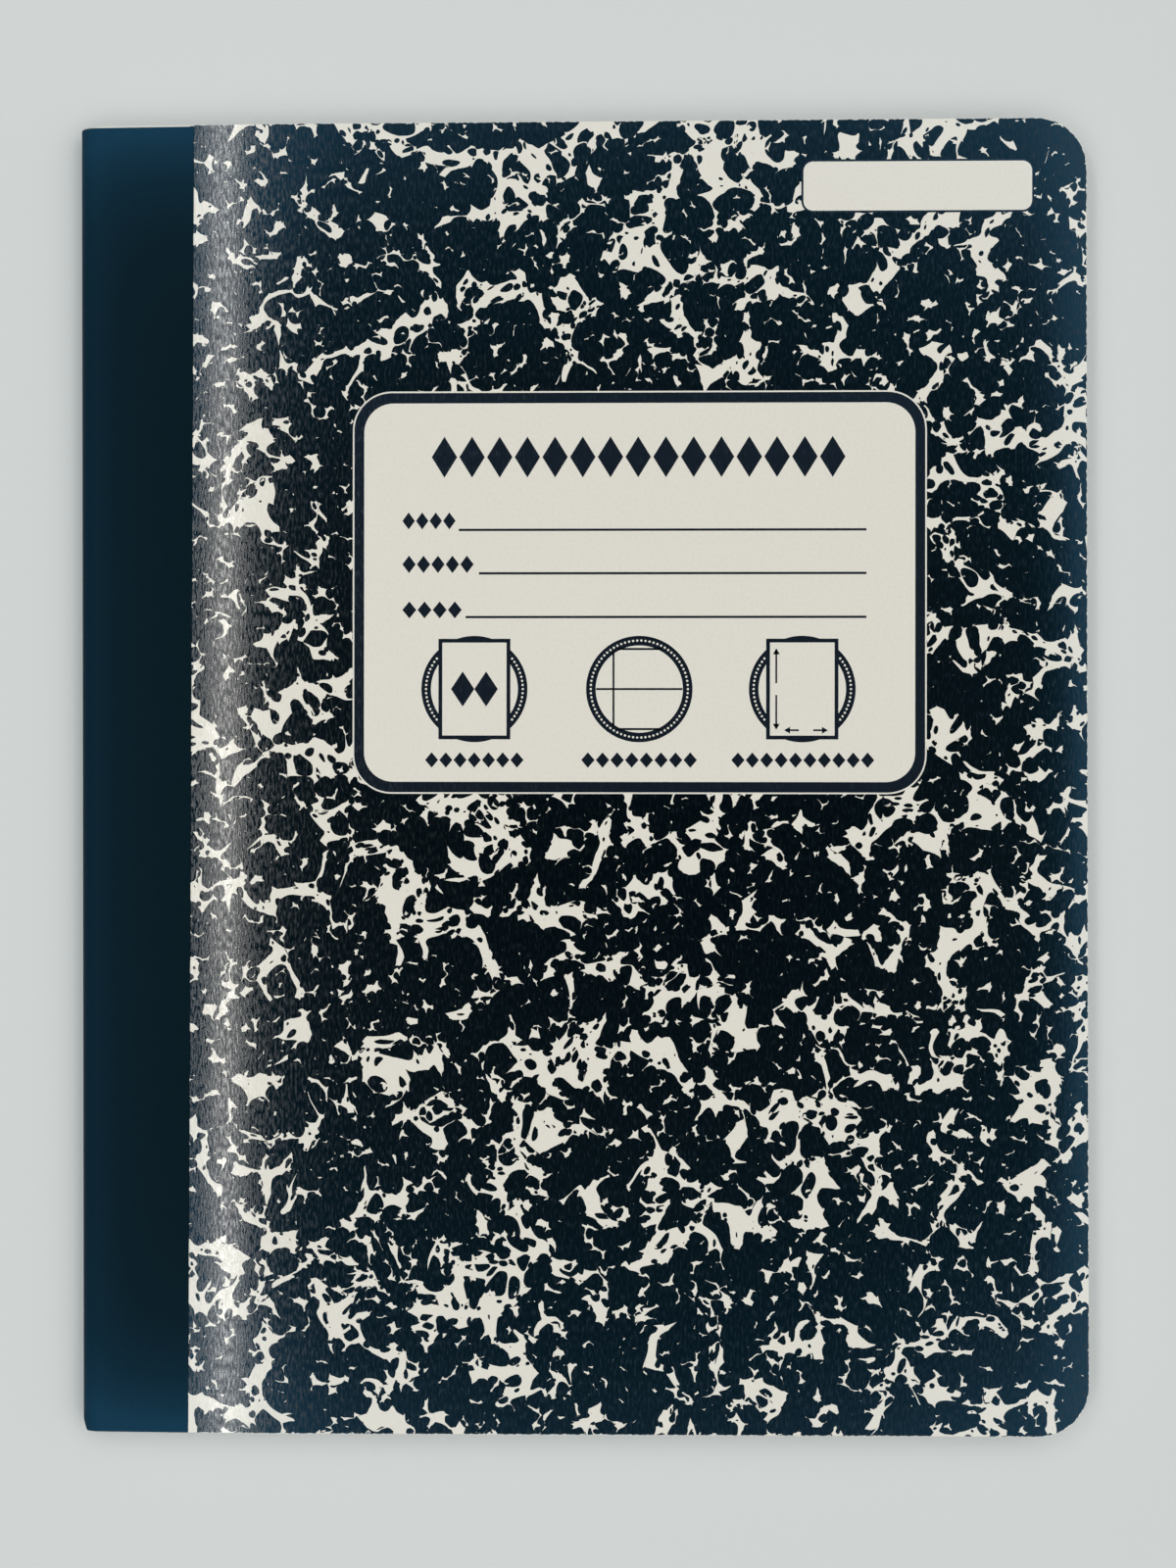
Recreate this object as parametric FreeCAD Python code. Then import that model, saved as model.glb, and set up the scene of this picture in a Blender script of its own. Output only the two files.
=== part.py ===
import FreeCAD, Part
import math
import os
from FreeCAD import Vector

# A sewn composition notebook that lies on its back cover, front cover up. X runs from the
# spine to the fore edge, Y from the tail to the head and Z up. The origin is on the table,
# under the middle of the book. All lengths are in millimetres.

# The trimmed book
book_width = 190.5
book_height = 247.65
corner_radius = 9.5

# The leaves: each sheet is folded once, so it gives two leaves
sheet_count = 40
pressed_leaf_thickness = 0.072
loose_leaf_thickness = 0.088

# The cover card, and the cloth tape over the spine, which reaches a little further onto the
# covers at the head than at the tail
card_thickness = 0.45
tape_thickness = 0.15
tape_width = 21.95
tape_skew = 1.3

# The front cover rises from the fold and bends flat: its slope and its flat would meet at
# bend_place, and the bend runs bend_reach to each side of there
bend_place = 36.0
bend_reach = 14.0

# The back cover steps down to the table beside the tape, which lies under it
step_margin = 0.6
step_run = 3.5

# Fits
glue_line = 0.05
cover_clearance = 0.15
hinge_gap = 0.1

# The stitching through the fold: the thread is round in its holes and pressed flat between them
thread_diameter = 0.3
flat_thread_width = 0.42
flat_thread_height = 0.2
thread_clearance = 0.04
stitch_length = 10.0
stitch_margin = 9.5
thread_end = 1.2

# The spine's crushed corner at the tail
worn_corner_width = 1.1
worn_corner_height = 2.3

# Depths of the layers below the outside of the tape
card_outside = tape_thickness + glue_line
card_inside = card_outside + card_thickness
pages_outside = card_inside + cover_clearance

# The nose is round: at its middle lie the innermost fold and the inner thread
nose_radius = sheet_count * pressed_leaf_thickness + pages_outside
pages_thickness = 2 * sheet_count * loose_leaf_thickness
book_thickness = pages_thickness + 2 * (cover_clearance + card_thickness)
front_level = book_thickness + card_outside


def at(distance, height):
    """A point of the section at the tail: its distance from the spine and height above the table."""
    return Vector(distance - book_width / 2, -book_height / 2, height)


# The front cover's slope touches the round nose and passes through the point where it meets the flat
nose_centre = at(nose_radius, nose_radius)
bend_point = at(bend_place, front_level)
to_bend = bend_point - nose_centre
front_slope = math.atan2(to_bend.z, to_bend.x) - math.asin(nose_radius / to_bend.Length)
bend_radius = bend_reach / math.tan(front_slope / 2)
bend_centre = at(bend_place + bend_reach, front_level - bend_radius)

hole_radius = thread_diameter / 2 + thread_clearance


def normal(slope):
    """The direction out of a surface that rises towards the fore edge at this slope."""
    return Vector(-math.sin(slope), 0, math.cos(slope))


def line(start, end):
    return Part.LineSegment(start, end).toShape()


def arc(start, middle, end):
    return Part.Arc(start, middle, end).toShape()


def front_path(depth, gap):
    """The front surface at this depth: up the slope, over the bend and flat to the fore edge."""
    slope_direction = Vector(math.cos(front_slope), 0, math.sin(front_slope))
    start = nose_centre + normal(front_slope) * (nose_radius - depth) + slope_direction * gap
    bend = [
        bend_centre + normal(front_slope * share) * (bend_radius - depth)
        for share in (1, 0.5, 0)
    ]
    end = at(book_width, front_level - depth)
    return start, [line(start, bend[0]), arc(*bend), line(bend[2], end)], end


def back_path(depth, gap):
    """The back surface at this depth: level under the spine, then down a step beside the tape."""
    step_start = tape_width + tape_skew / 2 + step_margin
    start = at(nose_radius + gap, depth)
    step = [at(step_start, depth), at(step_start + step_run, depth - card_outside)]
    end = at(book_width, depth - card_outside)
    return start, [line(start, step[0]), line(*step), line(step[1], end)], end


def nose_arc(depth):
    """The round of the spine at this depth, from the front hinge line to the back one."""
    radius = nose_radius - depth
    front = nose_centre + normal(front_slope) * radius
    spine = nose_centre + Vector(-radius, 0, 0)
    back = nose_centre + Vector(0, 0, -radius)
    return front, arc(front, spine, back), back


def along_spine(edges):
    """The solid that a closed section sweeps from the tail to the head."""
    face = Part.Face(Part.Wire(Part.__sortEdges__(edges)))
    return face.extrude(Vector(0, book_height, 0))


def cover_layer(path, outer_depth, inner_depth):
    """A sheet of one cover, from its hinge line to the fore edge."""
    outer_start, outer, outer_end = path(outer_depth, hinge_gap)
    inner_start, inner, inner_end = path(inner_depth, hinge_gap)
    ends = [line(outer_start, inner_start), line(outer_end, inner_end)]
    return along_spine(outer + inner + ends)


def nose_layer(outer_depth, inner_depth):
    """A sheet bent round the spine, from one hinge line to the other."""
    outer_front, outer, outer_back = nose_arc(outer_depth)
    inner_front, inner, inner_back = nose_arc(inner_depth)
    ends = [line(outer_front, inner_front), line(outer_back, inner_back)]
    return along_spine([outer, inner] + ends)


def trimmed_outline():
    """A tall block with the book's outline: square at the spine, round at the fore edge's corners."""
    spare = card_thickness
    block = Part.makeBox(
        book_width + spare,
        book_height,
        front_level + 2 * spare,
        Vector(-book_width / 2 - spare, -book_height / 2, -spare),
    )
    corners = [
        edge
        for edge in block.Edges
        if min(vertex.X for vertex in edge.Vertexes) > 0 and abs(edge.tangentAt(0).z) > 0.5
    ]
    return block.makeFillet(corner_radius, corners)


def tall_prism(outline):
    """A block of this outline in plan, from under the book to over it."""
    spare = card_thickness
    bottom = [Vector(x, y, -spare) for x, y in outline]
    face = Part.Face(Part.makePolygon(bottom + bottom[:1]))
    return face.extrude(Vector(0, 0, front_level + 2 * spare))


def tape_outline():
    """The tape's flap on one cover, whose edge isn't quite parallel to the spine."""
    left = -book_width / 2
    low, high = -book_height / 2, book_height / 2
    return tall_prism(
        [
            (left, low),
            (left + tape_width - tape_skew / 2, low),
            (left + tape_width + tape_skew / 2, high),
            (left, high),
        ]
    )


def worn_corner():
    """What the crushed corner of the spine has lost at the tail."""
    left, low = -book_width / 2, -book_height / 2
    return tall_prism(
        [(left, low), (left + worn_corner_width, low), (left, low + worn_corner_height)]
    )


def stitch_rows():
    """The places of the holes along the spine, evenly spaced between the margins."""
    run = book_height - 2 * stitch_margin
    stitches = max(1, round(run / stitch_length))
    return [-run / 2 + run * index / stitches for index in range(stitches + 1)]


def flat_run(place, spare):
    """A thread pressed flat along the spine, or its channel: it goes past the outer holes."""
    rows = stitch_rows()
    reach = thread_end + spare
    corner = at(place - spare, nose_radius - flat_thread_width / 2 - spare)
    corner.y = rows[0] - reach
    length = rows[-1] - rows[0] + 2 * reach
    return Part.makeBox(flat_thread_height + 2 * spare, length, flat_thread_width + 2 * spare, corner)


def legs(start_place, end_place, radius):
    """A straight leg, or a hole, at each row, between these distances from the spine."""
    pieces = []
    for row in stitch_rows():
        start = at(start_place, nose_radius)
        start.y = row
        pieces.append(Part.makeCylinder(radius, end_place - start_place, start, Vector(1, 0, 0)))
    return pieces


def stitch_holes():
    return legs(0, nose_radius, hole_radius)


def pages():
    """The folded leaves as one block, pierced at the fold, with room for the inner thread."""
    front_start, front, front_end = front_path(pages_outside, 0)
    back_start, back, back_end = back_path(pages_outside, 0)
    fold = nose_arc(pages_outside)[1]
    block = along_spine(front + back + [fold, line(front_end, back_end)])
    channel = flat_run(nose_radius, thread_clearance)
    return block.common(trimmed_outline()).cut([worn_corner(), channel] + stitch_holes())


def spine_card():
    """The cover card's bend round the spine, with the furrow that the outer thread lies in."""
    furrow = flat_run(card_outside, thread_clearance)
    card = nose_layer(card_outside, card_inside)
    return card.cut([worn_corner(), furrow] + stitch_holes())


def outer_thread():
    """The needle's thread: on the spine, and down each hole to lock on the inner thread."""
    top = card_outside + flat_thread_height / 2
    return flat_run(card_outside, 0).multiFuse(legs(top, nose_radius, thread_diameter / 2))


def inner_thread():
    """The bobbin's thread: straight along the middle fold, held by the outer one at each hole."""
    return flat_run(nose_radius, 0)


def cover(path):
    """A cover's card, from its hinge line to its round corners."""
    return cover_layer(path, card_outside, card_inside).common(trimmed_outline())


def tape_flap(path):
    """The tape's part on one cover."""
    return cover_layer(path, 0, tape_thickness).common(tape_outline())


def spine_tape():
    return nose_layer(0, tape_thickness).cut(worn_corner())


parts = {
    "front_cover": cover(front_path),
    "back_cover": cover(back_path),
    "spine_card": spine_card(),
    "front_tape": tape_flap(front_path),
    "back_tape": tape_flap(back_path),
    "spine_tape": spine_tape(),
    "page_block": pages(),
    "needle_thread": outer_thread(),
    "bobbin_thread": inner_thread(),
}

os.makedirs("parts", exist_ok=True)
for name, shape in parts.items():
    shape.exportStep(f"parts/{name}.step")
    print(name, "solids", len(shape.Solids), "valid", shape.isValid(), "volume", round(shape.Volume, 2))
print("thickness", round(book_thickness, 3), "nose", round(2 * nose_radius, 3))
print("front hinge at", round(-book_width / 2 + nose_radius * (1 - math.sin(front_slope)), 4),
      round(nose_radius * (1 + math.cos(front_slope)), 4), "slope", round(math.degrees(front_slope), 3))
print("back hinge at", round(-book_width / 2 + nose_radius, 4), 0)
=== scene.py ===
import math
import random

import bmesh
import bpy
from mathutils import Matrix, Vector


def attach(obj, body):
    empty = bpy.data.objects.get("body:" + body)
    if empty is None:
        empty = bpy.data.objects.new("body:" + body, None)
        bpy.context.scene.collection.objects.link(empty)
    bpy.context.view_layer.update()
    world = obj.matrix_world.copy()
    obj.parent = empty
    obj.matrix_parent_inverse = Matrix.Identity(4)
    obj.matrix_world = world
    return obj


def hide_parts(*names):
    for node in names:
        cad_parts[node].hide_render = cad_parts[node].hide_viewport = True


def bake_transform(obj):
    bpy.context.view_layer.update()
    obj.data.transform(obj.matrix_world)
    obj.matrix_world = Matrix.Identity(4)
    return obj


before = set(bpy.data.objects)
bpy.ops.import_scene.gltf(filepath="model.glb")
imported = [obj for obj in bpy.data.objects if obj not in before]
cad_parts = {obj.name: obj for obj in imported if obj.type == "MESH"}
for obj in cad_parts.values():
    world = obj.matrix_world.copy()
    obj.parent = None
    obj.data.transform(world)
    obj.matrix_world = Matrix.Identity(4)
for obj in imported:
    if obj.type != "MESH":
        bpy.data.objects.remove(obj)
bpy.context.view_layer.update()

# A sewn composition notebook, dressed in the order in which it is put together. It lies on its
# back cover: X runs from the spine to the fore edge, Y from the tail to the head and Z up.


# The leaves: forty sheets of ruled writing paper, folded once and nested into one another, sewn
# through the fold and trimmed on the other three sides. A little air stands between them, so no
# two of their edges lie quite alike.
mm = 0.001
book_width, book_height, corner_radius = 190.5 * mm, 247.65 * mm, 9.5 * mm
spine, tail = -book_width / 2, -book_height / 2
sheet_count, leaf_thickness = 40, 0.07 * mm
pressed_pitch, loose_pitch = 0.072 * mm, 0.088 * mm
pages_depth = 0.8 * mm
nose_radius = 3.68 * mm
front_level = 8.44 * mm
bend_place, bend_reach = 36 * mm, 14 * mm
step_start, step_end, step_rise = 23.2 * mm, 26.7 * mm, 0.2 * mm
worn_width, worn_height = 1.1 * mm, 2.3 * mm
settle_start, settle_share, settle_steps = 83 * mm, 0.05, 8
settle_less_at_ends = 0.7
nose_centre = Vector((spine + nose_radius, tail, nose_radius))
chance = random.Random(31)


def run_on(bm, point, reach):
    """Draws a section on in a straight line."""
    end = bmesh.ops.extrude_vert_indiv(bm, verts=[point])["verts"][0]
    bmesh.ops.translate(bm, verts=[end], vec=reach)
    return end


def turn(bm, point, centre, angle, steps):
    """Draws a section on in an arc."""
    last = bmesh.ops.spin(
        bm, geom=[point], cent=centre, axis=(0, 1, 0), angle=angle, steps=steps
    )["geom_last"]
    return next(item for item in last if isinstance(item, bmesh.types.BMVert))


def rise(fold_radius, level):
    """The slope at which a front sheet leaves the round fold, to meet its flat at the bend."""
    over, up = bend_place - nose_radius, level - nose_radius
    return math.atan2(up, over) - math.asin(fold_radius / math.hypot(over, up))


def over_the_bend(bm, point, fold_radius, level, steps):
    """Draws a front sheet's section up its slope, over the bend and flat to the fore edge."""
    slope = rise(fold_radius, level)
    bend_radius = bend_reach / math.tan(slope / 2)
    centre = Vector((spine + bend_place + bend_reach, tail, level - bend_radius))
    start = centre + bend_radius * Vector((-math.sin(slope), 0, math.cos(slope)))
    point = run_on(bm, point, start - point.co)
    point = turn(bm, point, centre, slope, steps)
    return run_on(bm, point, (book_width / 2 - point.co.x, 0, 0))


def along_spine(bm, rows):
    """Draws the section out from the tail to the head, in this many rows."""
    ends = bmesh.ops.extrude_edge_only(bm, edges=bm.edges[:])["geom"]
    ends = [item for item in ends if isinstance(item, bmesh.types.BMVert)]
    bmesh.ops.translate(bm, verts=ends, vec=(0, book_height, 0))
    lengthwise = [
        edge for edge in bm.edges if abs(edge.verts[0].co.y - edge.verts[1].co.y) > mm
    ]
    if rows > 1:
        bmesh.ops.subdivide_edges(bm, edges=lengthwise, cuts=rows - 1)


def crush_corner(bm):
    """Takes off what the crushed corner of the spine has lost at the tail."""
    bmesh.ops.bisect_plane(
        bm, geom=bm.verts[:] + bm.edges[:] + bm.faces[:], plane_co=(spine, tail + worn_height, 0),
        plane_no=(-worn_height, -worn_width, 0), clear_outer=True,
    )


def trim(bm):
    """Rounds the fore edge's corners and crushes the one of the spine."""
    corners = [
        vertex for vertex in bm.verts
        if vertex.co.x > book_width / 2 - mm and abs(vertex.co.y) > book_height / 2 - mm
    ]
    bmesh.ops.bevel(
        bm, geom=corners, offset=corner_radius, offset_type="OFFSET", affect="VERTICES",
        segments=14, profile=0.5, material=-1,
    )
    crush_corner(bm)


def settle(bm):
    """Lets a sheet down towards the table near the fore edge, where the leaves lie more closely,
    and less so towards the head and the tail."""
    reach = book_width / 2 - settle_start
    for step in range(settle_steps):
        bmesh.ops.bisect_plane(
            bm, geom=bm.verts[:] + bm.edges[:] + bm.faces[:],
            plane_co=(settle_start + reach * step / settle_steps, 0, 0), plane_no=(1, 0, 0),
        )
    for vertex in bm.verts:
        past = max(0.0, (vertex.co.x - settle_start) / reach)
        endward = abs(vertex.co.y / tail)
        eased = 1 - settle_less_at_ends * endward ** 2
        vertex.co.z *= 1 - settle_share * eased * past ** 2


def thicken(bm, thickness, up):
    """Turns the sheet's outside out, up for a front sheet and down for a back one, and gives it
    its thickness on the inside."""
    bmesh.ops.recalc_face_normals(bm, faces=bm.faces[:])
    outermost = max(bm.faces, key=lambda face: face.calc_center_median().z * up)
    if outermost.normal.z * up < 0:
        bmesh.ops.reverse_faces(bm, faces=bm.faces[:])
    bmesh.ops.solidify(bm, geom=bm.faces[:], thickness=thickness)


def make_piece(bm, name, *finishes):
    mesh = bpy.data.meshes.new(name)
    bm.to_mesh(mesh)
    bm.free()
    mesh.shade_smooth()
    mesh.set_sharp_from_angle(angle=math.radians(35))
    for finish in finishes:
        mesh.materials.append(finish)
    piece = bpy.data.objects.new(name, mesh)
    bpy.context.scene.collection.objects.link(piece)
    return piece


def new_finish(name):
    """A material with its nodes cleared down to one shader."""
    finish = bpy.data.materials.new(name)
    finish.use_nodes = True
    nodes = finish.node_tree.nodes
    nodes.clear()
    shader = nodes.new("ShaderNodeBsdfPrincipled")
    output = nodes.new("ShaderNodeOutputMaterial")
    finish.node_tree.links.new(shader.outputs[0], output.inputs[0])
    return finish, finish.node_tree, shader.inputs


def put(tree, value, socket):
    """Sets a socket to a number or colour, or links it to another node's output."""
    if isinstance(value, bpy.types.NodeSocket):
        tree.links.new(value, socket)
    else:
        socket.default_value = value


def work(tree, operation, *values):
    """A step of arithmetic on numbers."""
    node = tree.nodes.new("ShaderNodeMath")
    node.operation = operation
    for value, socket in zip(values, node.inputs):
        put(tree, value, socket)
    return node.outputs[0]


def shift(tree, operation, *values):
    """A step of arithmetic on places."""
    node = tree.nodes.new("ShaderNodeVectorMath")
    node.operation = operation
    for value, socket in zip(values, node.inputs):
        put(tree, value, socket)
    return node.outputs[0]


def object_place(tree):
    return tree.nodes.new("ShaderNodeTexCoord").outputs["Object"]


def split(tree, place):
    node = tree.nodes.new("ShaderNodeSeparateXYZ")
    put(tree, place, node.inputs[0])
    return node.outputs


def noise(tree, place, size, detail=1.0, seed=0.0, dimensions="2D"):
    """Soft noise whose lumps have this size, a number for each axis: its value and its colour."""
    moved = shift(tree, "ADD", place, (seed, seed * 0.7, 0.0))
    scaled = shift(tree, "DIVIDE", moved, size)
    node = tree.nodes.new("ShaderNodeTexNoise")
    node.noise_dimensions = dimensions
    put(tree, scaled, node.inputs["Vector"])
    node.inputs["Scale"].default_value = 1.0
    node.inputs["Detail"].default_value = detail
    return node.outputs["Fac"], node.outputs["Color"]


def mixed(tree, share, first, second):
    """Two colours mixed, from the first at a share of zero to the second at one."""
    node = tree.nodes.new("ShaderNodeMix")
    node.data_type = "RGBA"
    colour_a, colour_b, colour_out = node.inputs[6], node.inputs[7], node.outputs[2]
    put(tree, share, node.inputs[0])
    put(tree, first, colour_a)
    put(tree, second, colour_b)
    return colour_out


def bumped(tree, inputs, height, depth):
    """Raises the surface by this depth where the height is one."""
    node = tree.nodes.new("ShaderNodeBump")
    node.inputs["Distance"].default_value = depth
    put(tree, height, node.inputs["Height"])
    put(tree, node.outputs[0], inputs["Normal"])


ruling, head_space, margin = 8.7 * mm, 31.75 * mm, 31.75 * mm
line_share, margin_half_width = 0.015, 0.13 * mm
paper_white, paper_shade = (0.80, 0.80, 0.76, 1), (0.62, 0.60, 0.54, 1)
faint_blue, margin_red = (0.36, 0.55, 0.74, 1), (0.74, 0.27, 0.31, 1)


def ruled_paper(name, margin_place):
    finish, tree, inputs = new_finish(name)
    place = object_place(tree)
    x, y = split(tree, place)[:2]
    down = work(tree, "SUBTRACT", book_height / 2 - head_space, y)
    row = work(tree, "DIVIDE", down, ruling)
    off_line = work(tree, "ABSOLUTE", work(tree, "SUBTRACT", row, work(tree, "ROUND", row)))
    below_head = work(tree, "GREATER_THAN", row, -0.5)
    line = work(tree, "MULTIPLY", work(tree, "LESS_THAN", off_line, line_share), below_head)
    red = work(tree, "COMPARE", x, margin_place, margin_half_width)
    fibres = noise(tree, place, (0.5 * mm, 0.9 * mm, 0.5 * mm), 3.0)[0]
    paper = mixed(tree, work(tree, "MULTIPLY", fibres, 0.12), paper_white, paper_shade)
    ruled = mixed(tree, line, paper, faint_blue)
    put(tree, mixed(tree, red, ruled, margin_red), inputs["Base Color"])
    inputs["Roughness"].default_value = 0.9
    inputs["Specular IOR Level"].default_value = 0.2
    bumped(tree, inputs, fibres, 0.02 * mm)
    return finish


def trimmed_paper():
    """The block's cut edges, where each leaf catches the light a little differently."""
    finish, tree, inputs = new_finish("trimmed_paper")
    place = object_place(tree)
    leaves = noise(tree, place, (14 * mm, 22 * mm, 0.13 * mm), 2.0, dimensions="3D")[0]
    tone = work(tree, "MULTIPLY_ADD", leaves, 1.3, -0.3)
    put(tree, mixed(tree, tone, (0.66, 0.64, 0.58, 1), (0.86, 0.85, 0.81, 1)), inputs["Base Color"])
    inputs["Roughness"].default_value = 0.95
    inputs["Specular IOR Level"].default_value = 0.1
    bumped(tree, inputs, leaves, 0.03 * mm)
    return finish


leaf_count = 2 * sheet_count
pages_bottom = pages_depth - step_rise
pages_top = front_level - pages_depth
least_pitch = leaf_thickness / (1 - settle_share)
slack = pages_top - pages_bottom - leaf_count * least_pitch
wave_depth, waves_along = 0.8, 7
air = [chance.expovariate(1.0) for leaf in range(leaf_count)]
air_phase = [chance.uniform(0, 2 * math.pi) for leaf in range(leaf_count)]


def fore_edge_levels(y):
    """The undersides of all leaves at the fore edge, from the bottom up. Each gap takes its own
    share of the air, and the shares wave along the book."""
    gaps = [0.0] + [
        air[leaf] * (1 + wave_depth * math.sin(y / book_height * waves_along + air_phase[leaf]))
        for leaf in range(1, leaf_count)
    ]
    levels, height = [], pages_bottom
    for gap in gaps:
        height += slack * gap / sum(gaps)
        levels.append(height)
        height += least_pitch
    return levels


front_side, back_side, cut_side = 0, 1, 2
most_creep, most_draw_in = 0.22, 0.12
flat_start = bend_place + bend_reach
level_rows = {}
leaves_bm = bmesh.new()
for sheet in range(sheet_count):
    bm = bmesh.new()
    fold_radius = nose_radius - pages_depth - sheet * pressed_pitch
    back_level = pages_bottom + sheet * loose_pitch
    top_level = pages_top - sheet * loose_pitch
    raised = step_rise * (1 - sheet / (sheet_count - 1))
    point = bm.verts.new((book_width / 2, tail, back_level))
    point = run_on(bm, point, (step_end - book_width, 0, 0))
    point = run_on(bm, point, (step_start - step_end, 0, raised))
    point = run_on(bm, point, nose_centre - Vector((0, 0, fold_radius)) - point.co)
    point = turn(bm, point, nose_centre, math.pi - rise(fold_radius, top_level), 8)
    over_the_bend(bm, point, fold_radius, top_level, 5)
    along_spine(bm, 9)
    trim(bm)
    creep = chance.uniform(0.0, most_creep) * mm
    draw_in = chance.uniform(0.0, most_draw_in) * mm
    for vertex in bm.verts:
        share = (vertex.co.x - spine - flat_start) / (book_width - flat_start)
        if share > 0:
            y = round(vertex.co.y, 6)
            if y not in level_rows:
                level_rows[y] = fore_edge_levels(y)
            on_top = vertex.co.z > (pages_bottom + pages_top) / 2
            even = top_level if on_top else back_level
            uneven = level_rows[y][leaf_count - 1 - sheet if on_top else sheet]
            vertex.co.z += share * (uneven + on_top * leaf_thickness - even)
            vertex.co.x -= share * creep
        vertex.co.y *= 1 - draw_in / book_height
    settle(bm)
    thicken(bm, leaf_thickness, 1)
    for face in bm.faces:
        face.material_index = front_side if face.normal.z > 0 else back_side
        if abs(face.normal.y) > 0.3 or (face.normal.x > 0.3 and face.calc_center_median().x > 0):
            face.material_index = cut_side
    one_sheet = bpy.data.meshes.new("one_sheet")
    bm.to_mesh(one_sheet)
    bm.free()
    leaves_bm.from_mesh(one_sheet)
    bpy.data.meshes.remove(one_sheet)

recto = ruled_paper("ruled_paper_recto", spine + margin)
verso = ruled_paper("ruled_paper_verso", -spine - margin)
leaves = make_piece(leaves_bm, "folded_leaves", recto, verso, trimmed_paper())
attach(leaves, "pages")
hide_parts("page_block")


# The sewing: a lock stitch of white cotton through the fold. The needle's thread lies on the spine
# and dips into each hole, and the bobbin's thread lies in the middle fold. Both stay as built.
twist_pitch, twist_lean = 0.5 * mm, 9000.0


def ridges(tree, angle):
    """Round ridges side by side, one for each full turn of the angle, from zero up to one."""
    return work(tree, "MULTIPLY_ADD", work(tree, "SINE", angle), 0.5, 0.5)


def twisted_cotton():
    finish, tree, inputs = new_finish("sewing_cotton")
    y, z = split(tree, object_place(tree))[1:3]
    along = work(tree, "MULTIPLY", y, 2 * math.pi / twist_pitch)
    strands = ridges(tree, work(tree, "ADD", along, work(tree, "MULTIPLY", z, twist_lean)))
    # Painted shade: the cotton is darker in the grooves between its twisted strands and lighter on
    # their ridges.
    groove_shaded_white = mixed(tree, strands, (0.58, 0.56, 0.50, 1), (0.82, 0.80, 0.75, 1))
    put(tree, groove_shaded_white, inputs["Base Color"])
    inputs["Roughness"].default_value = 0.8
    inputs["Sheen Weight"].default_value = 0.3
    bumped(tree, inputs, strands, 0.04 * mm)
    return finish


cotton = twisted_cotton()
for name in ("needle_thread", "bobbin_thread"):
    for material_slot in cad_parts[name].material_slots:
        material_slot.material = cotton


# The cover: one sheet of card, printed with the marbled pattern on its outside, varnished, and
# folded round the leaves. Its bend round the spine lies under the tape, sewn, and stays as built.
# Its front and back are the sheet's two boards, which open about the edges of that bend.
card_outside, card_thickness = 0.2 * mm, 0.45 * mm
tape_reach = 21.4 * mm
hinge_reach, hinge_steps = 4.0 * mm, 16
cover_slope = rise(nose_radius, front_level)
slope_direction = Vector((math.cos(cover_slope), 0, math.sin(cover_slope)))
front_normal = Vector((-math.sin(cover_slope), 0, math.cos(cover_slope)))
front_hinge = nose_centre + front_normal * nose_radius
back_hinge = nose_centre - Vector((0, 0, nose_radius))


def from_hinge(bm, point, direction):
    """Draws the first few millimetres in short lengths."""
    for step in range(hinge_steps):
        point = run_on(bm, point, direction * hinge_reach / hinge_steps)
    return point


def unfold(bm, name, place_on_sheet):
    """Gives each corner of the mesh its place on the flat sheet, in metres."""
    layer = bm.loops.layers.uv.new(name)
    for face in bm.faces:
        for loop in face.loops:
            loop[layer].uv = place_on_sheet(loop.vert.co)


def sheet_place(tree, name):
    node = tree.nodes.new("ShaderNodeUVMap")
    node.uv_map = name
    return node.outputs[0]


def warped(tree, place, size, reach, seed):
    """The place, pushed about by soft noise."""
    swirl = noise(tree, place, (size, size, size), 1.0, seed)[1]
    centred = shift(tree, "SUBTRACT", swirl, (0.5, 0.5, 0.5))
    push = shift(tree, "MULTIPLY", centred, (reach, reach, 0.0))
    return shift(tree, "ADD", place, push)


def outside_drops(tree, place, size, low, high, seed, swell):
    """How far a place is outside the nearest of many round drops, below zero inside. The drops
    stand this far apart, and their radii go from low to high as shares of that."""
    node = tree.nodes.new("ShaderNodeTexVoronoi")
    node.voronoi_dimensions = "2D"
    put(tree, shift(tree, "ADD", place, (seed * 0.3, seed, 0.0)), node.inputs["Vector"])
    node.inputs["Scale"].default_value = 1.0 / size
    own = split(tree, node.outputs["Color"])[0]
    radius = work(tree, "ADD", work(tree, "MULTIPLY_ADD", own, high - low, low), swell)
    return work(tree, "MULTIPLY", work(tree, "SUBTRACT", node.outputs["Distance"], radius), size)


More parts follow.
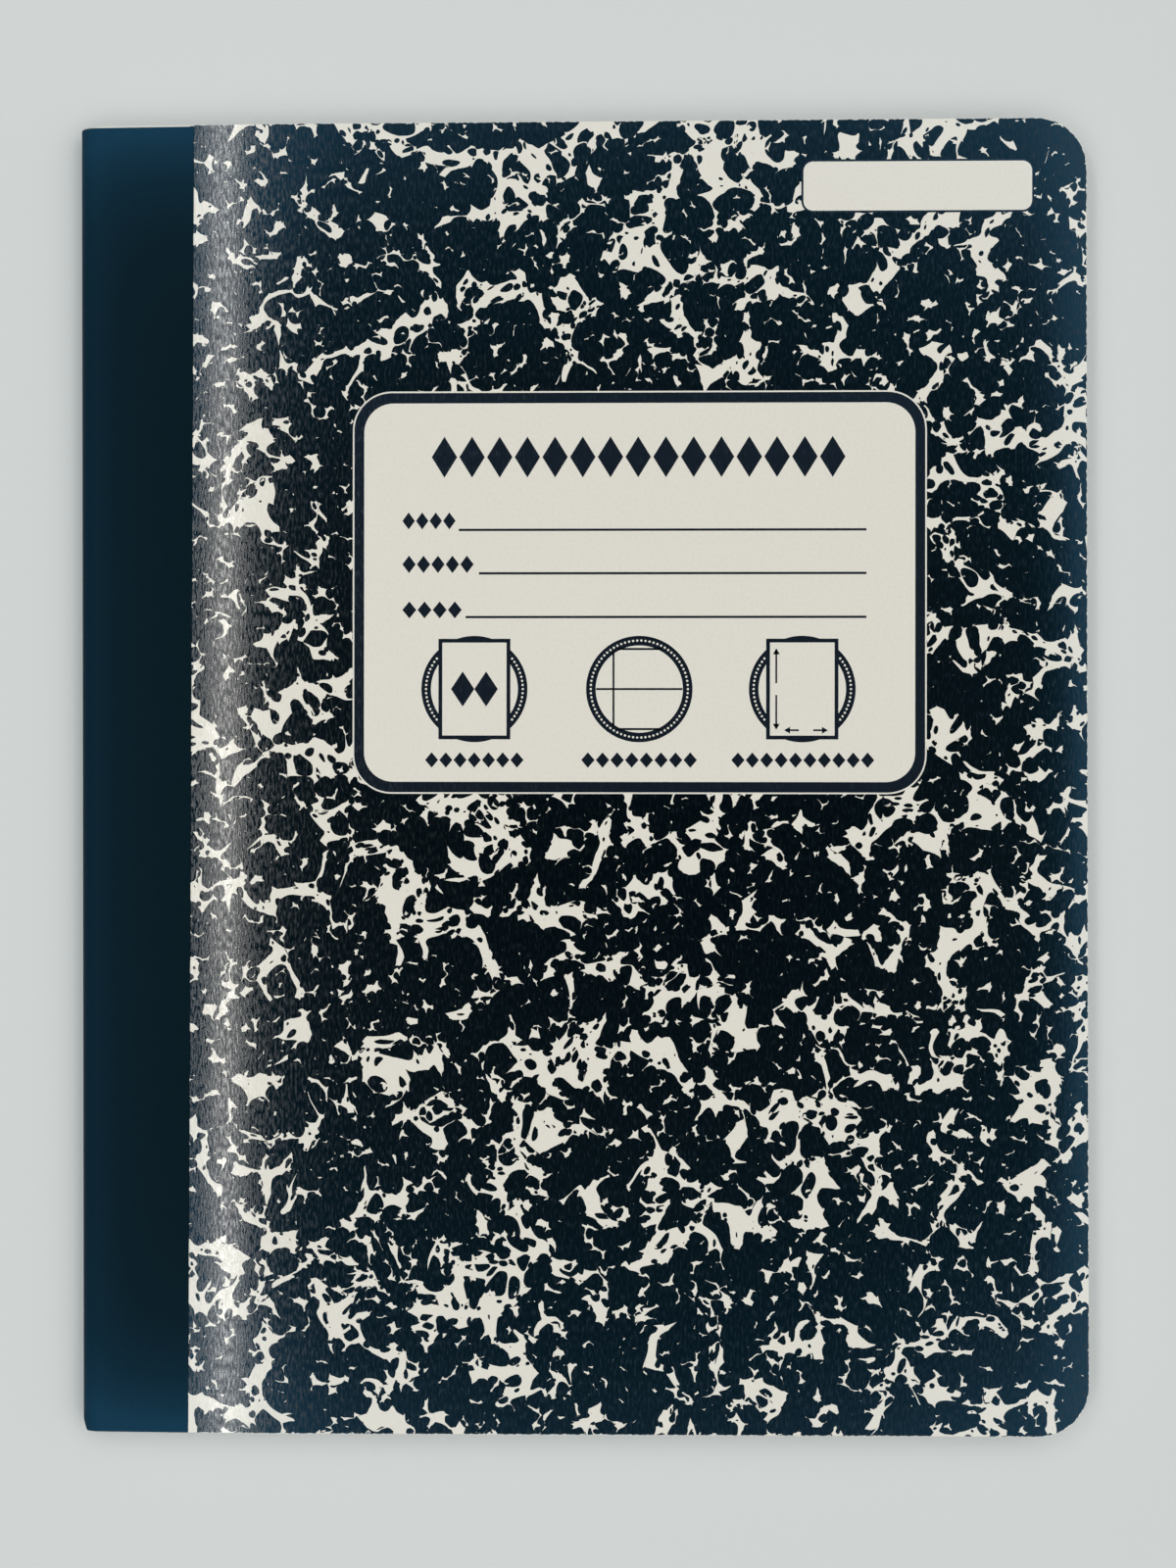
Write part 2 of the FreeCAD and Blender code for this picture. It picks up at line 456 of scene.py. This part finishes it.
def marbled(tree, place):
    """One where the card shows between the drops of ink, and zero on the ink. The drops swell away
    from the lines of a winding network, so that the card is left as ragged veins along them."""
    line_half_width, least_vein, least_chip = 0.017, 0.16 * mm, 0.06 * mm
    swell_span, swell_start, least_swell = 0.25, -0.063, 0.035
    bent = warped(tree, warped(tree, place, 11 * mm, 7 * mm, 1.3), 2.0 * mm, 0.5 * mm, 2.1)
    lines = []
    for size, seed in ((29 * mm, 3.7), (21 * mm, 8.9)):
        hills = noise(tree, bent, (size, size, size), 2.0, seed)[0]
        lines.append(work(tree, "ABSOLUTE", work(tree, "SUBTRACT", hills, 0.5)))
    past_line = work(tree, "SUBTRACT", work(tree, "MINIMUM", *lines), line_half_width)
    off_line = work(tree, "MAXIMUM", past_line, 0.0)
    inkier = noise(tree, place, (14 * mm, 14 * mm, 14 * mm), 1.0, 5.5)[0]
    most = work(tree, "MULTIPLY_ADD", inkier, swell_span, swell_start)
    swell = work(tree, "MINIMUM", off_line, work(tree, "MAXIMUM", most, least_swell))
    veins = None
    for size, low, high, lift, seed in (
        (7.6 * mm, 0.12, 0.54, 6.5, 0.5),
        (3.7 * mm, 0.06, 0.54, 5.0, 1.9),
        (1.7 * mm, -0.65, 0.44, 3.0, 4.4),
    ):
        gap = outside_drops(tree, bent, size, low, high, seed, work(tree, "MULTIPLY", swell, lift))
        veins = gap if veins is None else work(tree, "MINIMUM", veins, gap)
    loose = warped(tree, place, 2.4 * mm, 1.3 * mm, 5.2)
    chips = work(
        tree, "MINIMUM",
        outside_drops(tree, loose, 3.4 * mm, 0.46, 0.74, 6.5, 0.0),
        outside_drops(tree, loose, 1.9 * mm, 0.34, 0.78, 7.9, 0.0),
    )
    in_vein = work(tree, "GREATER_THAN", veins, least_vein)
    return work(tree, "MAXIMUM", in_vein, work(tree, "GREATER_THAN", chips, least_chip))


def cut_edge(tree, place):
    """One where the ink has flaked at the card's cut edge, and zero elsewhere."""
    x, y = split(tree, place)[:2]
    across = work(tree, "ABSOLUTE", work(tree, "SUBTRACT", x, spine))
    past_x = work(tree, "SUBTRACT", across, book_width - corner_radius)
    past_y = work(tree, "SUBTRACT", work(tree, "ABSOLUTE", y), book_height / 2 - corner_radius)
    corner = work(
        tree, "SQRT",
        work(
            tree, "ADD",
            work(tree, "POWER", work(tree, "MAXIMUM", past_x, 0.0), 2.0),
            work(tree, "POWER", work(tree, "MAXIMUM", past_y, 0.0), 2.0),
        ),
    )
    straight = work(tree, "MINIMUM", work(tree, "MAXIMUM", past_x, past_y), 0.0)
    beyond = work(tree, "ADD", corner, straight)
    to_edge = work(tree, "SUBTRACT", corner_radius, beyond)
    ragged = noise(tree, place, (1.1 * mm, 1.1 * mm, 1.1 * mm), 3.0, 0.7)[0]
    flaked = work(tree, "MULTIPLY_ADD", ragged, 0.5 * mm, -0.21 * mm)
    by_tape = work(tree, "MULTIPLY", work(tree, "LESS_THAN", across, tape_reach), 0.4 * mm)
    return work(tree, "LESS_THAN", to_edge, work(tree, "MAXIMUM", flaked, by_tape))


def varnish(tree, inputs, place):
    """A clear gloss over the print. The card's fibres show through it as fine upright streaks,
    which stand proud of the rest by a few thousandths of a millimetre and are less smooth."""
    streaks = noise(tree, place, (0.39 * mm, 1.3 * mm, mm), 3.0, 0.4)[0]
    bumped(tree, inputs, streaks, 0.0036 * mm)
    fibres = noise(tree, place, (0.43 * mm, 1.5 * mm, mm), 2.0, 5.2)[0]
    roughness_span, roughness_start, smoothest = 0.42, -0.1135, 0.03
    uneven = work(tree, "MULTIPLY_ADD", fibres, roughness_span, roughness_start)
    put(tree, work(tree, "MAXIMUM", uneven, smoothest), inputs["Roughness"])
    inputs["IOR"].default_value = 1.5


def print_mottle(tree, place):
    """The unevenness of the printer's ink and of the card under it."""
    return noise(tree, place, (0.6 * mm, 0.6 * mm, mm), 3.0, 3.3)[0]


print_ink, print_cream = (0.0008, 0.0020, 0.0030, 1), (0.70, 0.655, 0.565, 1)
thin_ink, dull_cream = (0.0016, 0.0042, 0.0060, 1), (0.66, 0.615, 0.525, 1)


def printed_card():
    finish, tree, inputs = new_finish("marbled_print")
    place = sheet_place(tree, "print")
    mottle = print_mottle(tree, place)
    ink = mixed(tree, mottle, print_ink, thin_ink)
    cream = mixed(tree, mottle, print_cream, dull_cream)
    bare = work(tree, "MAXIMUM", marbled(tree, place), cut_edge(tree, place))
    put(tree, mixed(tree, bare, ink, cream), inputs["Base Color"])
    varnish(tree, inputs, place)
    return finish


def plain_card(name, colour, darker):
    finish, tree, inputs = new_finish(name)
    place = object_place(tree)
    fibres = noise(tree, place, (0.4 * mm, 1.2 * mm, 0.08 * mm), 3.0, dimensions="3D")[0]
    uneven = mixed(tree, work(tree, "MULTIPLY", fibres, 0.6), colour, darker)
    put(tree, uneven, inputs["Base Color"])
    inputs["Roughness"].default_value = 0.85
    inputs["Specular IOR Level"].default_value = 0.25
    bumped(tree, inputs, fibres, 0.03 * mm)
    return finish


def board(name, up, finishes):
    """The front board, or the back one, from its hinge line to its round corners."""
    bm = bmesh.new()
    radius = nose_radius - card_outside
    if up > 0:
        point = bm.verts.new(nose_centre + front_normal * radius)
        point = from_hinge(bm, point, slope_direction)
        over_the_bend(bm, point, radius, front_level - card_outside, 40)
    else:
        point = bm.verts.new(nose_centre - Vector((0, 0, radius)))
        point = from_hinge(bm, point, Vector((1, 0, 0)))
        point = run_on(bm, point, (spine + step_start - point.co.x, 0, 0))
        point = run_on(bm, point, (step_end - step_start, 0, -step_rise))
        run_on(bm, point, (book_width / 2 - point.co.x, 0, 0))
    along_spine(bm, 12)
    trim(bm)
    settle(bm)
    thicken(bm, card_thickness, up)
    for face in bm.faces:
        facing = face.normal.z * up
        if abs(facing) <= 0.5:
            face.material_index = cut_side
        else:
            face.material_index = front_side if facing > 0 else back_side
    unfold(bm, "print", lambda co: (co.x if up > 0 else 2 * spine - co.x, co.y))
    return make_piece(bm, name, *finishes)


inside_white = plain_card("card_inside", (0.78, 0.77, 0.72, 1), (0.66, 0.64, 0.58, 1))
cut_card = plain_card("card_cut_edge", (0.66, 0.63, 0.56, 1), (0.40, 0.37, 0.32, 1))
card_finishes = (printed_card(), inside_white, cut_card)

front_board = board("front_board", 1, card_finishes)
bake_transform(front_board)
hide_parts("front_cover")

back_board = board("back_board", -1, card_finishes)
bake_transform(back_board)
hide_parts("back_cover")

for material_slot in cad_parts["spine_card"].material_slots:
    material_slot.material = cut_card


# The tape: a strip of dark bookbinder's cloth, glued over the sewn fold and onto both boards. It is
# cut from a roll, so its long edges are clean, and it lies a little askew on the front. It is made
# here in two halves that meet along the middle of the spine.
tape_thickness, tape_skew, tape_short = 0.15 * mm, 1.5 * mm, 0.3 * mm
edge_wander = 0.04
warp_pitch, weft_pitch = 0.34 * mm, 0.30 * mm
# Painted shade: the weave's hollows get the darker colour and its ridges the lighter one.
hollow_shade, cloth_ridge = (0.0010, 0.0050, 0.0078, 1), (0.0018, 0.0092, 0.0138, 1)
# Painted reflection: this blue, with its reaches and strengths, paints the bluish sky's reflection
# on the cloth, strongest at the nose of the spine and at the head and the tail.
sky_reflection_blue = (0.0065, 0.0350, 0.0640, 1)
spine_reflection_reach, spine_reflection_strength = 5 * mm, 0.7
end_reflection_reach, end_reflection_strength = 9 * mm, 1.15


def flap(up):
    """How a flap of the tape leaves the fold: the line it leaves from, its direction, and how far
    the cloth turns from the middle of the spine to there."""
    if up > 0:
        return front_hinge, slope_direction, math.pi / 2 - cover_slope
    return back_hinge, Vector((1, 0, 0)), math.pi / 2


def cloth_place(co, up):
    """The place on the strip laid flat: how far round from the middle of the spine, and along."""
    out = co - nose_centre
    hinge, along, quarter = flap(up)
    past_hinge = along.dot(Vector((co.x - hinge.x, 0, co.z - hinge.z)))
    round_nose = min(quarter, math.atan2(out.z * up, -out.x)) * nose_radius
    return up * (round_nose if past_hinge < 0 else quarter * nose_radius + past_hinge), co.y


def bookcloth():
    finish, tree, inputs = new_finish("bookcloth")
    place = sheet_place(tree, "cloth")
    x, y = split(tree, warped(tree, place, 3 * mm, 0.08 * mm, 0.2))[:2]
    warp = ridges(tree, work(tree, "MULTIPLY", x, 2 * math.pi / warp_pitch))
    weft = ridges(tree, work(tree, "MULTIPLY", y, 2 * math.pi / weft_pitch))
    slubs = noise(tree, place, (0.35 * mm, 5 * mm, mm), 2.0, 0.6)[0]
    weave = work(tree, "MULTIPLY_ADD", slubs, 0.8, work(tree, "MAXIMUM", warp, weft))
    # Painted shade: the cloth is darker in the hollows of its weave and lighter on its ridges. The
    # slubs mixed into the weave are the yarn's own uneven tone.
    shaded_weave = mixed(tree, weave, hollow_shade, cloth_ridge)
    from_spine = work(tree, "ABSOLUTE", x)
    from_end = work(tree, "SUBTRACT", book_height / 2, work(tree, "ABSOLUTE", y))
    # Painted reflection: the cloth is coloured bluer towards the nose of the spine and towards the
    # head and the tail, in place of the bluish sky it would mirror there.
    spine_reflection = work(tree, "EXPONENT", work(tree, "DIVIDE", from_spine, -spine_reflection_reach))
    end_reflection = work(tree, "EXPONENT", work(tree, "DIVIDE", from_end, -end_reflection_reach))
    end_reflection = work(tree, "MULTIPLY", end_reflection, end_reflection_strength)
    painted_reflection = work(tree, "MULTIPLY_ADD", spine_reflection, spine_reflection_strength, end_reflection)
    put(tree, mixed(tree, painted_reflection, shaded_weave, sky_reflection_blue), inputs["Base Color"])
    inputs["Roughness"].default_value = 0.5
    inputs["Specular IOR Level"].default_value = 0.02
    bumped(tree, inputs, weave, 0.03 * mm)
    return finish


def tape_half(name, up, finish):
    bm = bmesh.new()
    point = bm.verts.new((spine, tail, nose_radius))
    along, quarter = flap(up)[1:]
    point = turn(bm, point, nose_centre, up * quarter, 24)
    point = from_hinge(bm, point, along)
    edge_x = spine + tape_reach
    run_on(bm, point, along * (edge_x - point.co.x) / along.x)
    along_spine(bm, 60)
    for vertex in bm.verts:
        if vertex.co.x > edge_x - mm:
            wander = chance.uniform(-edge_wander, edge_wander) * mm
            vertex.co += along * (tape_skew * vertex.co.y / book_height + wander)
        if vertex.co.y > book_height / 2 - mm:
            vertex.co.y -= tape_short
    crush_corner(bm)
    thicken(bm, tape_thickness, up)
    unfold(bm, "cloth", lambda co: cloth_place(co, up))
    return make_piece(bm, name, finish)


cloth = bookcloth()
front_tape = tape_half("tape_front_half", 1, cloth)
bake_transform(front_tape)
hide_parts("front_tape", "spine_tape")

back_tape = tape_half("tape_back_half", -1, cloth)
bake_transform(back_tape)
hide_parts("back_tape", "spine_tape")


# The label: printed on the front board with the marbling, a cream panel in a dark border with a
# fine cream line round it. It has rows of plain lozenges, three writing lines, and three small
# pictures of a page and its ruling. Sizes and places are in millimetres from the book's middle.
board_top = front_level - card_outside
label_navy = (0.0070, 0.0105, 0.0165, 1)
mottle_strength = 0.09
film_root = 0.01 * mm


def label_print(name, colour):
    finish, tree, inputs = new_finish(name)
    place = object_place(tree)
    darker = tuple(part * (1 - mottle_strength) for part in colour[:3]) + (1,)
    put(tree, mixed(tree, print_mottle(tree, place), colour, darker), inputs["Base Color"])
    varnish(tree, inputs, place)
    return finish


def lay(film, shape, centre, height, ink):
    """Lays one flat shape on the board as a film of print, its top this high above the card."""
    for face in shape.faces:
        if face.normal.z < 0:
            face.normal_flip()
        face.material_index = ink
    bmesh.ops.solidify(shape, geom=shape.faces[:], thickness=height + film_root)
    place = (centre[0] * mm, centre[1] * mm, board_top + height)
    bmesh.ops.translate(shape, verts=shape.verts[:], vec=place)
    flat = bpy.data.meshes.new("flat")
    shape.to_mesh(flat)
    shape.free()
    film.from_mesh(flat)
    bpy.data.meshes.remove(flat)


def oblong(width, height, radius=0.0, line=0.0):
    """A flat oblong with round corners, or only a line round its edge."""
    shape = bmesh.new()
    size = Matrix.Diagonal((width * mm, height * mm, 1, 1))
    bmesh.ops.create_grid(shape, x_segments=1, y_segments=1, size=0.5, matrix=size)
    if radius:
        bmesh.ops.bevel(
            shape, geom=shape.verts[:], offset=radius * mm, offset_type="OFFSET", affect="VERTICES",
            segments=12, profile=0.5, material=-1,
        )
    return hollowed(shape, line)


def disc(radius, sides, line=0.0, stretch=1.0):
    """A flat disc, lozenge or triangle, or only a line round its edge."""
    shape = bmesh.new()
    size = Matrix.Diagonal((1, stretch, 1, 1))
    bmesh.ops.create_circle(
        shape, cap_ends=True, segments=sides, radius=radius * mm, matrix=size
    )
    return hollowed(shape, line)


def hollowed(shape, line):
    """Takes the middle out of a flat shape and leaves a line of this width round its edge."""
    if line:
        middle = shape.faces[:]
        bmesh.ops.inset_region(
            shape, faces=middle, thickness=line * mm, use_boundary=True, use_even_offset=True
        )
        bmesh.ops.delete(shape, geom=middle, context="FACES_ONLY")
        loose = [vertex for vertex in shape.verts if not vertex.link_faces]
        bmesh.ops.delete(shape, geom=loose, context="VERTS")
    return shape


cream, navy = 0, 1
lozenge_share = 0.92


def lozenge_row(film, left, right, bottom, top, count, height):
    """A row of upright lozenges that fills this place."""
    pitch = (right - left) / count
    for index in range(count):
        shape = disc((top - bottom) / 2, 4)
        width = lozenge_share * pitch / (top - bottom)
        bmesh.ops.scale(shape, verts=shape.verts[:], vec=(width, 1, 1))
        lay(film, shape, (left + (index + 0.5) * pitch, (bottom + top) / 2), height, navy)


def arrow_head(film, place, angle, height):
    """A small triangle that points this many degrees round from the right."""
    head = disc(0.75, 3)
    from_up = Matrix.Rotation(math.radians(angle - 90), 3, "Z")
    bmesh.ops.rotate(head, verts=head.verts[:], cent=(0, 0, 0), matrix=from_up)
    lay(film, head, place, height, navy)


film = bmesh.new()
panel_centre = (10.91, 34.75)
lay(film, oblong(107.5, 75.5, 7.3), panel_centre, 0.010 * mm, cream)
lay(film, oblong(106.9, 74.9, 7.0), panel_centre, 0.014 * mm, navy)
lay(film, oblong(103.2, 71.0, 5.5), panel_centre, 0.018 * mm, cream)
low, middle, high, highest = 0.022 * mm, 0.026 * mm, 0.030 * mm, 0.034 * mm
lozenge_row(film, -28.2, 49.7, 56.3, 64.0, 15, low)
rule_end = 53.4
for left, right, bottom, top, rule_left, rule_height, count in (
    (-33.6, -23.4, 46.6, 49.8, -22.9, 46.5, 4),
    (-33.6, -20.0, 38.4, 41.7, -19.1, 38.35, 5),
    (-33.6, -22.2, 29.9, 33.1, -21.6, 30.15, 4),
):
    lozenge_row(film, left, right, bottom, top, count, low)
    rule = oblong(rule_end - rule_left, 0.44)
    lay(film, rule, ((rule_end + rule_left) / 2, rule_height), low, navy)

leaves_x, ruling_x, size_x, pictures_y = -19.94, 10.98, 41.45, 16.65
dot_count, dot_ring = 74, 9.09
for x, caption_left, caption_right, count in (
    (leaves_x, -29.3, -10.6, 7),
    (ruling_x, 0.0, 21.9, 8),
    (size_x, 28.1, 55.0, 10),
):
    lay(film, disc(9.97, 96, 1.8), (x, pictures_y), low, navy)
    for dot in range(dot_count):
        angle = dot / dot_count * 2 * math.pi
        place = (x + dot_ring * math.cos(angle), pictures_y + dot_ring * math.sin(angle))
        lay(film, disc(0.22, 8), place, middle, cream)
    lozenge_row(film, caption_left, caption_right, 1.9, 4.8, count, low)
    if x != ruling_x:
        lay(film, oblong(13.5, 18.85), (x, pictures_y), high, cream)
        lay(film, oblong(13.5, 18.85, 0.0, 0.72), (x, pictures_y), highest, navy)

lay(film, oblong(16.2, 0.38), (ruling_x, pictures_y), low, navy)
lay(film, oblong(0.38, 13.9), (6.15, pictures_y), low, navy)
upright_x, level_x, level_y = 36.6, 42.15, 8.95
for side in (-1, 1):
    lay(film, oblong(8.0, 0.4), (ruling_x, pictures_y + side * 7.5), low, navy)
    lay(film, disc(2.2, 4, 0.0, 1.5), (leaves_x + side * 2.2, pictures_y), highest, navy)
    lay(film, oblong(0.34, 6.1), (upright_x, pictures_y + side * 4.15), highest, navy)
    lay(film, oblong(1.9, 0.34), (level_x + side * 2.3, level_y), highest, navy)
    arrow_head(film, (upright_x, pictures_y + side * 6.87), side * 90, highest)
    arrow_head(film, (level_x + side * 3.35, level_y), 90 - side * 90, highest)

print_turn, print_stretch = math.radians(-0.15), 1.0065
stretched = Matrix.Diagonal((print_stretch, print_stretch, 1, 1))
askew = Matrix.Rotation(print_turn, 4, "Z") @ stretched
bmesh.ops.transform(film, matrix=askew, verts=film.verts[:])
label_finishes = (label_print("label_cream", print_cream), label_print("label_navy", label_navy))
label = make_piece(film, "label_print", *label_finishes)
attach(label, "front_cover")


# The bare plate: a small cream oblong with a navy edge near the head, printed on the front cover
# with the same two inks as the label and left plain.
plate = bmesh.new()
plate_centre = (62.9, 110.7)
lay(plate, oblong(43.4, 10.0, 2.2), plate_centre, 0.010 * mm, navy)
lay(plate, oblong(42.6, 9.2, 1.8), plate_centre, 0.014 * mm, cream)
bmesh.ops.transform(plate, matrix=askew, verts=plate.verts[:])
bare_plate = make_piece(plate, "bare_plate", *label_finishes)
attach(bare_plate, "front_cover")


# The studio: a pale table under a sky that is bright all round and dark overhead, daylight from a
# window on the left, a softer light on the right, and one long narrow lamp over the spine's side,
# whose reflection is the bright streak on the varnish.
def table_top():
    bm = bmesh.new()
    bmesh.ops.create_grid(bm, x_segments=1, y_segments=1, size=8.0)
    finish, tree, inputs = new_finish("table_top")
    inputs["Base Color"].default_value = (0.58, 0.585, 0.56, 1)
    inputs["Roughness"].default_value = 0.9
    inputs["Specular IOR Level"].default_value = 0.0
    return make_piece(bm, "table_top", finish)


table_top()


def long_lamp(name, place, aim, width, length, radiance, colour):
    """A flat lamp, its long side along the book, that faces this aim."""
    light = bpy.data.lights.new(name, "AREA")
    light.shape = "RECTANGLE"
    light.size, light.size_y = width, length
    light.energy = radiance * math.pi * width * length
    light.color = colour
    carrier = bpy.data.objects.new(name, light)
    back = (Vector(place) - Vector(aim)).normalized()
    across = Vector((0, 1, 0)).cross(back).normalized()
    carrier.location = place
    carrier.rotation_euler = Matrix((across, back.cross(across), back)).transposed().to_euler()
    bpy.context.scene.collection.objects.link(carrier)


long_lamp(
    "streak_lamp", place=(-0.2295, 0, 0.748), aim=(-0.068, 0, 0), width=0.014, length=1.1,
    radiance=14.0, colour=(1.0, 0.98, 0.94),
)
for name, towards, energy, spread in (
    ("left_window", (-0.36, 0.02, 1.0), 0.20, 2),
    ("right_soft_light", (0.9, -0.1, 1.0), 0.14, 40),
):
    daylight = bpy.data.lights.new(name, "SUN")
    daylight.energy, daylight.angle = energy, math.radians(spread)
    daylight.color = (1.0, 0.92, 0.80)
    carrier = bpy.data.objects.new(name, daylight)
    carrier.rotation_euler = Vector(towards).to_track_quat("Z", "Y").to_euler()
    bpy.context.scene.collection.objects.link(carrier)

world = bpy.data.worlds.new("studio_sky")
world.use_nodes = True
bpy.context.scene.world = world
sky = world.node_tree
direction = split(sky, sky.nodes.new("ShaderNodeTexCoord").outputs["Generated"])
to_right, upward = direction[0], direction[2]
ramp = sky.nodes.new("ShaderNodeValToRGB")
put(sky, upward, ramp.inputs[0])
horizon, overhead = ramp.color_ramp.elements
horizon.position, horizon.color = 0.0, (0.06, 0.06, 0.06, 1)
overhead.position, overhead.color = 1.0, (0.0, 0.001, 0.002, 1)
for height, colour in (
    (0.50, (0.14, 0.14, 0.14, 1)),
    (0.72, (0.55, 0.54, 0.53, 1)),
    (0.82, (0.98, 0.96, 0.94, 1)),
    (0.90, (1.00, 1.00, 1.00, 1)),
    (0.935, (0.38, 0.67, 0.94, 1)),
    (0.95, (0.18, 0.50, 0.80, 1)),
    (0.960, (0.09, 0.34, 0.60, 1)),
    (0.97, (0.035, 0.12, 0.20, 1)),
    (0.978, (0.010, 0.065, 0.11, 1)),
    (0.987, (0.010, 0.036, 0.052, 1)),
    (0.993, (0.007, 0.017, 0.023, 1)),
):
    ramp.color_ramp.elements.new(height).color = colour
lit = sky.nodes["Background"]
sky_strength, more_to_right = 2.09, 1.15
put(sky, ramp.outputs[0], lit.inputs["Color"])
put(sky, work(sky, "MULTIPLY_ADD", to_right, more_to_right, sky_strength), lit.inputs["Strength"])
backdrop = sky.nodes.new("ShaderNodeBackground")
backdrop.inputs["Color"].default_value = (0.60, 0.62, 0.61, 1)
seen = sky.nodes.new("ShaderNodeMixShader")
put(sky, sky.nodes.new("ShaderNodeLightPath").outputs["Is Camera Ray"], seen.inputs[0])
put(sky, lit.outputs[0], seen.inputs[1])
put(sky, backdrop.outputs[0], seen.inputs[2])
put(sky, seen.outputs[0], sky.nodes["World Output"].inputs["Surface"])

bpy.context.scene.view_settings.view_transform = "Standard"

# The camera stands over the front cover at the photograph's viewing angle.
eye = bpy.data.cameras.new("eye")
eye.sensor_width = 36.0
eye.lens = 60.0
eye.clip_start = 0.01
camera = bpy.data.objects.new("eye", eye)
camera.location = (0.01364, -0.00178, 0.50090)
camera.rotation_euler = [math.radians(angle) for angle in (0.071, 1.4235, -0.098)]
bpy.context.scene.collection.objects.link(camera)
bpy.context.scene.camera = camera
